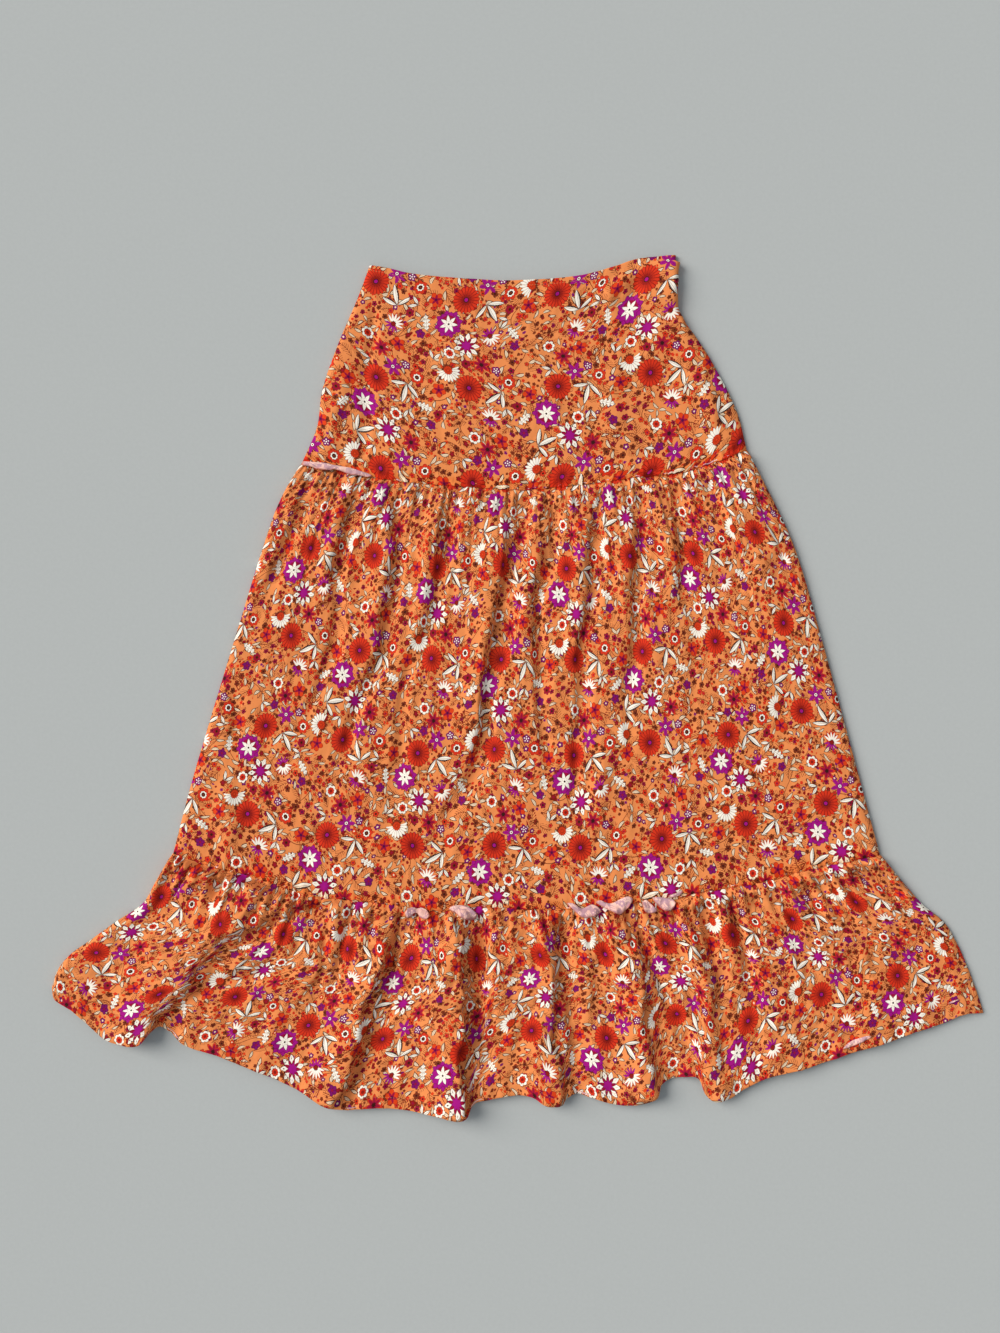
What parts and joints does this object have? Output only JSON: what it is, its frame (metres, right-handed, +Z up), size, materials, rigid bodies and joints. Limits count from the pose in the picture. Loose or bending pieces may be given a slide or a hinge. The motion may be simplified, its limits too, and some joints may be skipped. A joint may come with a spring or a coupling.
{
  "type": "tiered maxi skirt laid flat",
  "caption": "Long three-tier skirt laid flat: smooth flared yoke, gathered middle tier and a deep gathered ruffle with wavy hem.",
  "frame": {"origin": "on the surface the skirt lies on, under the middle of its outline", "axes": "+X across the skirt, +Y from the hem towards the waist, +Z up out of the surface"},
  "size_m": [1.084, 1.0046, 0.0272],
  "materials": {
    "printed_cloth": "printed viscose, soft matt",
    "cloth_wrong_side": "pale wrong side of the printed viscose, matt"
  },
  "bodies": {
    "root": {"yoke_front": "printed_cloth", "yoke_back": "printed_cloth", "tier_front": "printed_cloth", "tier_back": "printed_cloth", "ruffle_front": "printed_cloth", "ruffle_back": "printed_cloth", "flap_hip": "cloth_wrong_side", "flap_1": "cloth_wrong_side", "flap_2": "cloth_wrong_side", "flap_3": "cloth_wrong_side", "flap_4": "cloth_wrong_side", "flap_5": "cloth_wrong_side", "flap_6": "cloth_wrong_side"}
  },
  "joints": []
}
